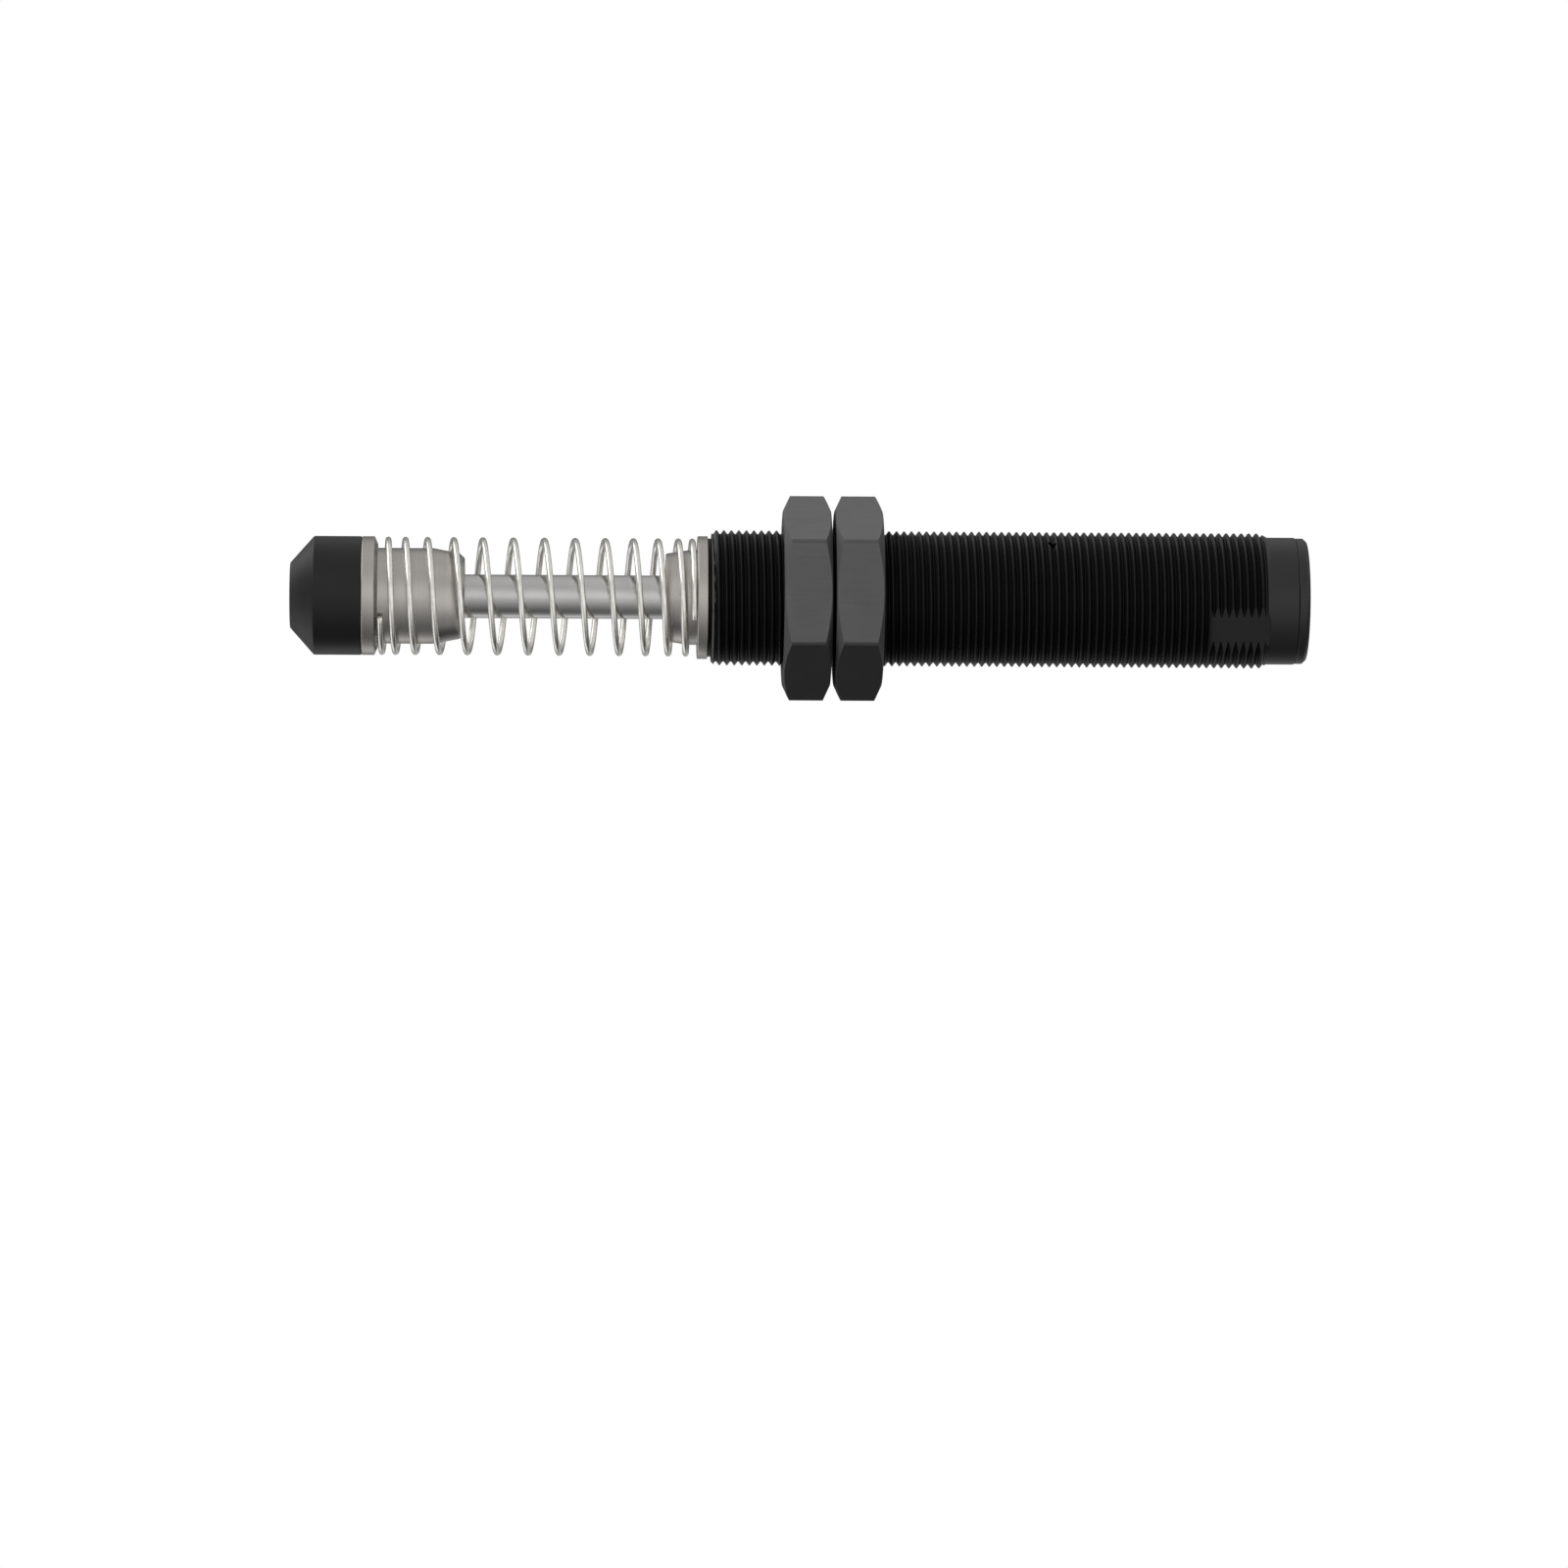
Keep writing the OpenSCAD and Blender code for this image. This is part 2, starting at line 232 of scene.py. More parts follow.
class Finish:
    """One Principled material and the nodes that feed it."""

    def __init__(self, name, metallic=0.0, **fixed):
        self.material = bpy.data.materials.new(name)
        self.material.use_nodes = True
        self.tree = self.material.node_tree
        self.tree.nodes.clear()
        out = self.tree.nodes.new("ShaderNodeOutputMaterial")
        self.shader = self.tree.nodes.new("ShaderNodeBsdfPrincipled")
        self.tree.links.new(self.shader.outputs["BSDF"], out.inputs["Surface"])
        self.shader.inputs["Metallic"].default_value = metallic
        for key, value in fixed.items():
            self.shader.inputs[key.replace("_", " ")].default_value = value
        place_in = self.tree.nodes.new("ShaderNodeTexCoord")
        self.where = place_in.outputs["Object"]
        split = self.tree.nodes.new("ShaderNodeSeparateXYZ")
        self.tree.links.new(self.where, split.inputs[0])
        self.x, self.y, self.z = split.outputs
        self.out_r = self.calc("SQRT", self.calc("ADD", self.calc("MULTIPLY", self.y, self.y), self.calc("MULTIPLY", self.z, self.z)))

    def put(self, value, socket):
        if isinstance(value, bpy.types.NodeSocket):
            self.tree.links.new(value, socket)
        else:
            socket.default_value = value

    def calc(self, operation, a, b=None, c=None, clamp=False):
        node = self.tree.nodes.new("ShaderNodeMath")
        node.operation, node.use_clamp = operation, clamp
        for i, v in enumerate((a, b, c)):
            if v is not None:
                self.put(v, node.inputs[i])
        return node.outputs[0]

    def noise(self, scale, detail=2.0, rough=0.5, w=None, vector=None, distortion=0.0):
        """Noise by place, or along one number w."""
        node = self.tree.nodes.new("ShaderNodeTexNoise")
        node.noise_dimensions = "1D" if w is not None else "3D"
        self.put(w if w is not None else (vector or self.where), node.inputs["W" if w is not None else "Vector"])
        node.inputs["Scale"].default_value = scale
        node.inputs["Detail"].default_value = detail
        node.inputs["Roughness"].default_value = rough
        node.inputs["Distortion"].default_value = distortion
        return node.outputs["Fac"]

    def stretched(self, sx, sy, sz):
        """Object coordinates scaled by axis, for grain that runs one way."""
        node = self.tree.nodes.new("ShaderNodeMapping")
        node.inputs["Scale"].default_value = (sx, sy, sz)
        self.tree.links.new(self.where, node.inputs["Vector"])
        return node.outputs[0]

    def between(self, value, low, high, to_low=0.0, to_high=1.0, smooth=False):
        node = self.tree.nodes.new("ShaderNodeMapRange")
        node.interpolation_type = "SMOOTHSTEP" if smooth else "LINEAR"
        node.clamp = True
        for i, v in enumerate((value, low, high, to_low, to_high)):
            self.put(v, node.inputs[i])
        return node.outputs[0]

    def mix(self, factor, a, b):
        node = self.tree.nodes.new("ShaderNodeMix")
        node.data_type, node.clamp_factor = "RGBA", True
        self.put(factor, node.inputs[0])
        for value, socket in ((a, node.inputs[6]), (b, node.inputs[7])):
            self.put(value if isinstance(value, bpy.types.NodeSocket) else (*value, 1.0), socket)
        return node.outputs[2]

    def bump(self, height, distance, strength=1.0, before=None):
        node = self.tree.nodes.new("ShaderNodeBump")
        node.inputs["Strength"].default_value = strength
        node.inputs["Distance"].default_value = distance
        self.put(height, node.inputs["Height"])
        if before is not None:
            self.tree.links.new(before, node.inputs["Normal"])
        return node.outputs[0]

    def done(self, colour, roughness, normal=None):
        self.put(colour if isinstance(colour, bpy.types.NodeSocket) else (*colour, 1.0), self.shader.inputs["Base Color"])
        self.put(roughness, self.shader.inputs["Roughness"])
        if normal is not None:
            self.tree.links.new(normal, self.shader.inputs["Normal"])
        return self.material

    def about(self, value, middle, spread):
        """middle + spread * (value - 0.5)"""
        return self.calc("MULTIPLY_ADD", value, spread, middle - spread / 2)

    def lathe_line(self, wobble=0.00004):
        """Distance along a turned surface, so that lines of equal value are the tool's rings."""
        far = self.calc("ADD", self.calc("MULTIPLY", self.x, 0.83), self.calc("MULTIPLY", self.out_r, 1.17))
        return self.calc("MULTIPLY_ADD", self.noise(70, 1), wobble, far)


def turned(name, light, dark, rough, metallic=1.0, ring=0.00028, depth=1.6e-6, smudge=0.06, **fixed):
    """Metal off the lathe: fine rings from the tool, broader tone bands and faint handling marks."""
    f = Finish(name, metallic, **fixed)
    line = f.lathe_line()
    fine = f.noise(1 / ring, 2, 0.6, w=line)
    broad = f.noise(1 / (ring * 9), 2, 0.5, w=line)
    marks = f.noise(120, 4, 0.6)
    specks = f.noise(1900, 2, 0.5)
    tone = f.calc("ADD", f.calc("MULTIPLY", fine, 0.35), f.calc("ADD", f.calc("MULTIPLY", broad, 0.4), f.calc("MULTIPLY", marks, 0.25)))
    colour = f.mix(f.between(tone, 0.32, 0.68), light, dark)
    roughness = f.calc("ADD", f.about(fine, rough, 0.08), f.about(marks, 0.0, smudge))
    normal = f.bump(specks, depth * 0.7)
    normal = f.bump(fine, depth, before=normal)
    return f.done(colour, roughness, normal)


def urethane():
    """Moulded black urethane: satin, with a fine moulded grain, slow waves and a nose that is rubbed a little by its anvil."""
    f = Finish("urethane", 0.0, Specular_IOR_Level=0.32)
    grain = f.noise(5200, 2, 0.55)
    cloud = f.noise(160, 3, 0.5)
    flow = f.noise(60, 2, 0.5)
    rub = f.between(f.calc("ADD", f.calc("MULTIPLY", f.noise(900, 3), 0.0016), f.calc("MULTIPLY", f.x, -1.0)),
                    -(FRONT - 82.0) * 0.001, -(FRONT - 84.0) * 0.001, smooth=True)
    colour = f.mix(cloud, linear(13, 13, 14), linear(22, 22, 23))
    colour = f.mix(f.calc("MULTIPLY", rub, 0.35), colour, linear(52, 52, 52))
    roughness = f.calc("ADD", f.about(cloud, 0.40, 0.10), f.calc("ADD", f.about(grain, 0.0, 0.10), f.calc("MULTIPLY", rub, 0.10)))
    normal = f.bump(flow, 2.2e-5)
    normal = f.bump(grain, 3.2e-6, before=normal)
    return f.done(colour, roughness, normal)


def chrome_rod():
    """Hard chrome, ground and polished: hair-fine grinding rings and a faint oil film."""
    f = Finish("hard_chrome", 1.0)
    line = f.lathe_line(0.00002)
    fine = f.noise(9000, 2, 0.6, w=line)
    film = f.noise(140, 3, 0.55)
    streak = f.noise(1.0, 3, 0.5, vector=f.stretched(90, 900, 900))
    colour = f.mix(f.between(film, 0.3, 0.7), linear(207, 206, 205), linear(197, 196, 195))
    roughness = f.calc("ADD", f.about(fine, 0.135, 0.05), f.calc("ADD", f.about(film, 0.0, 0.05), f.about(streak, 0.0, 0.03)))
    normal = f.bump(fine, 3.5e-7)
    return f.done(colour, roughness, normal)


def spring_wire():
    """Bright drawn spring wire with fine lines along the wire and a slight tarnish."""
    f = Finish("spring_steel", 1.0)
    drawn = f.noise(1.0, 3, 0.6, vector=f.stretched(7000, 900, 900))
    tarnish = f.noise(420, 3, 0.55)
    colour = f.mix(f.between(tarnish, 0.35, 0.7), linear(246, 245, 241), linear(230, 227, 220))
    roughness = f.calc("ADD", f.about(drawn, 0.22, 0.12), f.about(tarnish, 0.0, 0.08))
    return f.done(colour, roughness, f.bump(drawn, 1.1e-6))


def black_oxide_thread():
    """Black oxide on the rolled thread and shoulder: deep satin black, burnished a little on the crests and the flats' edges."""
    f = Finish("black_oxide_body")
    cloud = f.noise(150, 4, 0.55)
    grit = f.noise(3800, 2, 0.5)
    line = f.lathe_line(0.00003)
    rings = f.noise(4200, 2, 0.6, w=line)
    crest = f.between(f.calc("ADD", f.out_r, f.calc("MULTIPLY", f.noise(700, 3, 0.6), 0.00012)), 0.013485, 0.01358, smooth=True)
    colour = f.mix(cloud, linear(11, 11, 12), linear(19, 18, 18))
    colour = f.mix(f.calc("MULTIPLY", crest, 0.09), colour, linear(62, 61, 60))
    # lower specular level on the thread and lower again in its roots, none on the shoulder and on the two flats;
    # painted shade darkens the thread's roots, and a painted highlight lightens the front chamfer
    shape = f.tree.nodes.new("ShaderNodeTexCoord").outputs["Normal"]
    facing = f.tree.nodes.new("ShaderNodeVectorMath")
    facing.operation = "DOT_PRODUCT"
    f.tree.links.new(shape, facing.inputs[0])
    facing.inputs[1].default_value = (0, math.cos(math.radians(29)), math.sin(math.radians(29)))
    on_flat = f.calc("MULTIPLY", f.between(f.calc("ABSOLUTE", facing.outputs["Value"]), 0.985, 0.995),
                     f.between(f.x, (FRONT + 98.9) * 0.001, (FRONT + 99.1) * 0.001))
    thread = f.calc("MULTIPLY", f.between(f.x, (FRONT + 110.6) * 0.001, (FRONT + 109.8) * 0.001), f.calc("SUBTRACT", 1.0, on_flat))
    groove_shade = f.calc("MULTIPLY", f.between(f.out_r, 0.0132, 0.0129, smooth=True), thread)
    chamfer_highlight = f.calc("MULTIPLY", f.between(f.x, (FRONT + 0.02) * 0.001, (FRONT + 0.12) * 0.001), f.between(f.x, (FRONT + 0.75) * 0.001, (FRONT + 0.62) * 0.001))
    chamfer_highlight = f.calc("MULTIPLY", chamfer_highlight, f.between(f.calc("ADD", f.out_r, f.calc("MULTIPLY", f.noise(420, 3, 0.6), 0.0005)), 0.01300, 0.01315, smooth=True))
    # painted shade: the roots of the thread coloured darker
    colour = f.mix(groove_shade, colour, linear(8, 8, 8))
    # painted highlight: a light ring round the front chamfer
    colour = f.mix(chamfer_highlight, colour, linear(104, 103, 102))
    level = f.calc("ADD", f.calc("MULTIPLY", thread, -0.30), f.calc("MULTIPLY", groove_shade, -0.10))
    f.put(f.calc("ADD", level, 0.5), f.shader.inputs["Specular IOR Level"])
    roughness = f.calc("ADD", f.about(cloud, 0.36, 0.10), f.calc("ADD", f.about(grit, 0.0, 0.08), f.about(rings, 0.0, 0.06)))
    normal = f.bump(grit, 1.2e-6)
    normal = f.bump(rings, 0.9e-6, before=normal)
    return f.done(colour, roughness, normal)


def black_oxide_cap():
    f = Finish("black_oxide_cap", 0.0, Specular_IOR_Level=0.5)
    cloud = f.noise(170, 4, 0.55)
    line = f.lathe_line(0.00003)
    rings = f.noise(3600, 2, 0.6, w=line)
    grit = f.noise(3800, 2, 0.5)
    colour = f.mix(cloud, linear(16, 16, 17), linear(26, 25, 25))
    roughness = f.calc("ADD", f.about(cloud, 0.36, 0.10), f.about(rings, 0.0, 0.10))
    normal = f.bump(grit, 1.2e-6)
    normal = f.bump(rings, 1.6e-6, before=normal)
    return f.done(colour, roughness, normal)


def nut_finish():
    """Black oxide nut: facing rings on the two faces and chamfers, drawn bar grain along the six flats, and painted
    shade that darkens the turned-down corners.
    """
    f = Finish("black_oxide_nut", 0.0, Specular_IOR_Level=0.12)
    shape = f.tree.nodes.new("ShaderNodeTexCoord").outputs["Normal"]
    split = f.tree.nodes.new("ShaderNodeSeparateXYZ")
    f.tree.links.new(shape, split.inputs[0])
    on_face = f.between(f.calc("ABSOLUTE", split.outputs[0]), 0.3, 0.6)
    rings = f.noise(3400, 3, 0.6, w=f.lathe_line(0.00003))
    bar = f.noise(1.0, 4, 0.6, vector=f.stretched(150, 3300, 3300))
    grain = f.calc("ADD", f.calc("MULTIPLY", rings, on_face), f.calc("MULTIPLY", bar, f.calc("SUBTRACT", 1.0, on_face)))
    cloud = f.noise(130, 4, 0.6)
    grit = f.noise(2600, 3, 0.6)
    corner_shade = f.between(f.calc("ADD", f.out_r, f.calc("MULTIPLY", f.noise(500, 3, 0.6), 0.0001)), 0.02037, 0.02043, smooth=True)
    colour = f.mix(cloud, linear(92, 92, 93), linear(104, 104, 104))
    colour = f.mix(f.calc("MULTIPLY", f.between(grain, 0.35, 0.75), 0.35), colour, linear(84, 84, 85))
    # painted shade: the turned-down corner strips coloured darker than the flats
    colour = f.mix(f.calc("MULTIPLY", corner_shade, 0.85), colour, linear(81, 81, 81))
    roughness = f.calc("ADD", f.about(grain, 0.52, 0.14), f.about(cloud, 0.0, 0.08))
    normal = f.bump(grit, 1.5e-6)
    normal = f.bump(grain, 2.4e-6, before=normal)
    return f.done(colour, roughness, normal)


def rubber(name="nitrile_rubber", tone=28, rough=0.55):
    f = Finish(name, 0.0, Specular_IOR_Level=0.35)
    grain, cloud = f.noise(4200, 3, 0.6), f.noise(300, 3, 0.5)
    colour = f.mix(cloud, linear(tone), linear(tone + 9, tone + 9, tone + 10))
    return f.done(colour, f.calc("ADD", f.about(grain, rough, 0.14), f.about(cloud, 0.0, 0.1)), f.bump(grain, 3e-6))


def foam():
    f = Finish("closed_cell_foam", 0.0, Specular_IOR_Level=0.2)
    cell = f.tree.nodes.new("ShaderNodeTexVoronoi")
    cell.inputs["Scale"].default_value = 2600
    f.tree.links.new(f.where, cell.inputs["Vector"])
    depth = f.between(cell.outputs["Distance"], 0.0, 0.7)
    colour = f.mix(depth, linear(70, 70, 76), linear(38, 38, 42))
    return f.done(colour, f.about(depth, 0.85, 0.1), f.bump(depth, 6e-5))


NICKEL = turned("nickel_steel", linear(191, 188, 183), linear(177, 173, 167), 0.27, ring=0.00030, depth=1.5e-6)
PLAIN = turned("plain_steel", linear(176, 176, 178), linear(158, 158, 161), 0.34)
SCREW = turned("screw_steel", linear(58, 58, 60), linear(44, 44, 46), 0.38, metallic=0.0, depth=1.2e-6)
BRONZE = turned("bronze", linear(196, 158, 96), linear(168, 130, 74), 0.3)
COPPER = turned("copper_washer", linear(214, 140, 104), linear(184, 112, 82), 0.33)
CHROME, WIRE, CAP_SKIN = chrome_rod(), spring_wire(), urethane()
BODY_SKIN, END_SKIN, NUT_SKIN = black_oxide_thread(), black_oxide_cap(), nut_finish()
RUBBER, FOAM = rubber(), foam()

BY_SLOT = {
    "urethane": CAP_SKIN, "nickel_steel": NICKEL, "screw_steel": SCREW, "hard_chrome": CHROME, "plain_steel": PLAIN,
    "bronze": BRONZE, "spring_steel": WIRE, "nitrile_rubber": RUBBER, "closed_cell_foam": FOAM,
    "black_oxide_body": BODY_SKIN, "black_oxide_cap": END_SKIN, "black_oxide_nut": NUT_SKIN, "copper_washer": COPPER,
}


# ---------------------------------------------------------------- pieces on the rod

def bumper_cap():
    front, back = along("bumper_cap")
    r = radius("bumper_cap")
    nose = 6.5
    profile = [(0, front), (nose, front, 0.35), (r, front + 4.75, 0.4), (r, back, 0.3), (6.85, back, 0.1),
               (6.85, back - 4.35, 0.1), (7.65, back - 4.35, 0.15), (7.65, back - 6.45, 0.2), (0, back - 6.45)]
    return solid("bumper_cap_moulding", *lathe(profile, steps=176))


def strike_head():
    """Snap boss, flange and guide sleeve in one turned piece. The sleeve's rear tapers in two steps."""
    front, back = along("strike_head")
    face = back - 20.45                             # where the cap meets the flange
    r = radius("strike_head")
    sleeve = 9.55
    profile = [(2.75, face - 1.2, 0), (4.5, face - 1.2, 0.1), (4.5, front, 0.15), (7.6, front, 0.25), (7.6, face - 4.4, 0.15),
               (6.8, face - 4.4, 0.1), (6.8, face, 0.1), (r, face, 0.2), (r, face + 2.5, 0.1), (10.4, face + 3.15, 0.1), (sleeve, face + 3.15, 0.1),
               (sleeve, back - 6.2, 0.2), (8.55, back - 1, 0.1), (7.6, back, 0.12), (4.4, back, 0.12),
               (4.4, face + 2.6, 0), (2.75, face + 2.6, 0)]
    return solid("striking_head", *lathe(profile, steps=176))


def piston_rod():
    front, back = along("piston_rod")
    r = radius("piston_rod")
    r = min(r, 4.35)
    profile = [(0, front + 13), (2.52, front + 13, 0), (2.52, front, 0), (r, front, 0.3), (r, back - 15, 0.1), (3, back - 15, 0.05),
               (3, back, 0.3), (0, back)]
    return solid("chromed_rod", *lathe(profile, steps=144))


# ---------------------------------------------------------------- return spring

TURNS, PHASE, WIRE_R, COIL_R = 13, 204.0, 0.6, 11.2
FLAT = 0.0205, 0.0245                               # share of the length that the flat end turns give up, front and rear


def return_spring():
    """Round wire swept along a right-hand coil, close at both ends and open between, with cut ends."""
    low, high = along("return_spring")
    start, length = low + WIRE_R, high - low - 2 * WIRE_R
    per_turn, sides = 60, 16

    def settle(u):
        return math.exp(-u * TURNS / 0.6)

    def centre(u):
        x = start + length * (u - 0.0446 * math.sin(2 * math.pi * u) - 0.004 * math.sin(4 * math.pi * u)
                              + FLAT[0] * (settle(u) - 1) - FLAT[1] * settle(1 - u)) / (1 - FLAT[0] - FLAT[1])
        a = math.radians(PHASE + 360 * TURNS * u)
        return np.array([x, COIL_R * math.cos(a), COIL_R * math.sin(a)]), a

    wire_length = 2 * math.pi * COIL_R * TURNS
    edge = 0.07 / wire_length
    stations = [(0.0, 0.86), (edge * 0.35, 0.95), (edge, 1.0)]
    count = TURNS * per_turn
    stations += [(k / count, 1.0) for k in range(1, count)]
    stations += [(1 - edge, 1.0), (1 - edge * 0.35, 0.95), (1.0, 0.86)]
    columns = []
    for u, share in stations:
        p, a = centre(u)
        q, _ = centre(u + 1e-5)
        t = (q - p) / np.linalg.norm(q - p)
        n = np.array([0, math.cos(a), math.sin(a)])
        n = n - t * (n @ t)
        n /= np.linalg.norm(n)
        b = np.cross(t, n)
        columns.append([tuple(p + WIRE_R * share * (n * math.cos(s) + b * math.sin(s)))
                        for s in (2 * math.pi * k / sides for k in range(sides))])
    verts, faces = grid(columns, True, closed_round=False)
    last = (len(columns) - 1) * sides
    verts += [tuple(centre(0.0)[0]), tuple(centre(1.0)[0])]
    for k in range(sides):
        faces.append((k, (k + 1) % sides, len(verts) - 2))
        faces.append((last + (k + 1) % sides, last + k, len(verts) - 1))
    return solid("wire_spring", verts, faces)


# ---------------------------------------------------------------- front end

def bearing_housing():
    """Spring seat sleeve, its flange against the body, and the bearing carrier inside."""
    front, back = along("bearing_housing")
    sleeve, r = 9.45, radius("bearing_housing")
    profile = [(7, front, 0.12), (sleeve - 0.7, front, 0.2), (sleeve, front + 4.4, 0.3), (sleeve, -2.78, 0.1), (r, -2.78, 0.2), (r, -0.7, 0.2),
               (10.55, -0.7, 0), (10.55, 3, 0), (9, 3, 0), (9, 5.6, 0), (10.55, 5.6, 0), (10.55, back, 0.4),
               (7.5, back, 0.1), (7.5, 14.4, 0), (8.1, 14.4, 0), (8.1, 13, 0), (7.5, 13, 0), (7.5, 6.8, 0), (5, 6.8, 0.1), (5, 5.8, 0.1),
               (6, 5.8, 0), (6, -5.3, 0), (7, -5.3, 0)]
    return solid("spring_seat_housing", *lathe(profile, steps=176))


def rod_wiper():
    profile = [(4.95, -5.3, 0.1), (6.98, -5.3, 0.1), (6.98, -8.3, 0.2), (6.2, -8.5, 0.3), (5.55, -7.6, 0.3), (4.7, -8.9, 0.08),
               (4.4, -8.6, 0.05), (4.8, -6.9, 0.3)]
    return solid("wiper_ring", *lathe(profile, steps=128))


# ---------------------------------------------------------------- threaded body

PITCH, CREST, ROOT = 1.5, 13.5, 12.74
# half of one thread from the middle of the crest to the middle of the root
PROFILE_U = [0.0, 0.07, 0.12, 0.60, 0.68, 0.75]
PROFILE_R = [CREST, CREST, CREST - 0.045, 12.80, 12.755, ROOT]
SAMPLES = [-0.68, -0.60, -0.12, -0.07, 0.07, 0.12, 0.60, 0.68]
PHASE_X = 0.62                                      # where the first crest starts at angle 0


def thread_r(x, turn):
    u = (x - PHASE_X - PITCH * turn + PITCH / 2) % PITCH - PITCH / 2
    return np.interp(abs(u), PROFILE_U, PROFILE_R)


def body_tube():
    """Right-hand 60 degree thread cut over the whole body, turned down to its chamfers, shoulder and bore, with two wrench flats and the side port."""
    length = along("body_tube")[1]
    crest_end, shoulder, shoulder_r = length - 7.1, length - 5.6, 12.7
    low, high, inside, outside, far = -1.2, shoulder - 0.02, 9.0, 13.9, length + 1.5
    steps = 120
    columns = []
    for j in range(steps + 1):
        turn = j / steps
        xs = [PHASE_X + PITCH * turn + k * PITCH + u for k in range(-3, int(length / PITCH) + 3) for u in SAMPLES]
        xs = np.clip(xs, low, high)
        a = 2 * math.pi * turn
        points = [(low, inside)] + [(x, float(thread_r(x, turn))) for x in xs] + [(high, outside), (far, outside), (far, inside)]
        columns.append([(x, r * math.cos(a), r * math.sin(a)) for x, r in points])
    # the last column lies on the first, one pitch on, and the merge of doubles closes the round
    body = solid("threaded_body", *grid(columns, True, closed_round=False))
    fr, br = 10.6, 10.25
    envelope = [(fr, -0.7, 0), (11.8, -0.7, 0.08), (11.8, 0, 0), (12.8, 0, 0.06), (13.62, 0.82, 0), (13.62, crest_end - 0.225, 0), (shoulder_r, shoulder, 0.1),
                (shoulder_r, length, 0.25), (fr, length, 0), (fr, length - 11.7, 0), (br, length - 11.7, 0), (br, 18.7, 0), (fr, 18.7, 0)]
    cut(body, solid("envelope", *lathe(envelope, steps=180)), "INTERSECT")
    for angle in (29.0, 209.0):
        a = math.radians(angle)
        out, side = np.array([math.cos(a), math.sin(a)]), np.array([-math.sin(a), math.cos(a)])
        flat = 12.5
        outline = [tuple(out * flat - side * 9), tuple(out * 18 - side * 9), tuple(out * 18 + side * 9), tuple(out * flat + side * 9)]
        cut(body, prism(outline, shoulder - 11.95, shoulder + 0.001))
    cut(body, radial_tool(67.7, 125.0, 0.8, 9.0, 16.0))
    return body


def side_port_plug():
    """Ball-nosed plug pressed into the port, a little below the thread's crests."""
    profile = rounded([(0, 10.3), (0.76, 10.3, 0.08), (0.76, 12.0, 0.08), (0.55, 12.2, 0.08), (0.25, 12.16, 0.05), (0, 12.14)], False)
    a = math.radians(125.0)
    out, side = np.array([0, math.cos(a), math.sin(a)]), np.array([0, -math.sin(a), math.cos(a)])
    steps = 48
    columns = []
    for j in range(steps):
        t = 2 * math.pi * j / steps
        columns.append([tuple(np.array([67.7, 0, 0]) + out * h + r * (np.array([1, 0, 0]) * math.cos(t) + side * math.sin(t)))
                        for r, h in profile])
    return solid("port_plug", *grid(columns, False))


# ---------------------------------------------------------------- rear end

def rear_end_cap():
    low, high = along("rear_end_cap")
    seam = high - 2.25
    seat = seam - 11.7
    profile = [(3.05, low, 0.1), (6.95, low, 0.3), (6.95, seat, 0), (10.55, seat, 0), (10.55, seat + 4.2, 0), (9, seat + 4.2, 0),
               (9, seat + 6.8, 0), (10.55, seat + 6.8, 0), (10.55, seam + 0.02, 0), (12.55, seam + 0.02, 0.25), (12.55, seam + 1.55, 0.1),
               (11.9, high, 0.12), (4.6, high, 0.2), (4.6, seam - 2.6, 0), (3.05, seam - 2.6, 0)]
    ob = solid("rear_cap", *lathe(profile, steps=176))
    for y in (-8.2, 8.2):
        hole = rounded([(0, seam - 2.0), (1.25, seam - 2.0, 0), (1.25, high - 0.15, 0), (1.45, high + 0.05, 0), (1.45, high + 1, 0), (0, high + 1)], False)
        columns = []
        for j in range(48):
            t = 2 * math.pi * j / 48
            columns.append([(x, y + r * math.cos(t), r * math.sin(t)) for r, x in hole])
        cut(ob, solid("tool", *grid(columns, False)))
    return ob


def fill_screw():
    low, high = along("fill_screw")
    profile = [(0, low), (3, low, 0.3), (3, high - 3.3, 0), (4.4, high - 3.3, 0.1), (4.4, high - 0.05, 0.28), (0, high)]
    ob = solid("fill_port_screw", *lathe(profile, steps=96))
    across = 4.0 / math.sqrt(3)
    outline = [(across * math.cos(math.radians(60 * k + 90)), across * math.sin(math.radians(60 * k + 90))) for k in range(6)]
    cut(ob, prism(outline, high - 2.2, high + 1))
    lead = rounded([(0, high - 0.45), (2.0, high - 0.45, 0), (2.55, high + 0.1, 0), (2.55, high + 1, 0), (0, high + 1)], False)
    columns = [[(x, r * math.cos(t), r * math.sin(t)) for r, x in lead] for t in (2 * math.pi * k / 64 for k in range(64))]
    cut(ob, solid("tool", *grid(columns, False)))
    return ob


# ---------------------------------------------------------------- lock nuts

def hexagon(across_flats, corner_r, turn, per_face=18, per_corner=4):
    """(angle, radius) points round a hexagon whose corners are turned down to corner_r, counter-clockwise from +Y to +Z."""
    flat = across_flats / 2
    reach = math.degrees(math.acos(flat / corner_r))
    made = []
    for k in range(6):
        middle = 60 + turn + 60 * k
        # points gather towards the corners, where the chamfer's edge curves most
        made += [(middle + d, flat / math.cos(math.radians(d))) for d in -reach * np.cos(math.pi * np.linspace(0, 1, per_face))]
        made += [(d, corner_r) for d in np.linspace(middle + reach, middle + 60 - reach, per_corner + 2)[1:-1]]
    return made


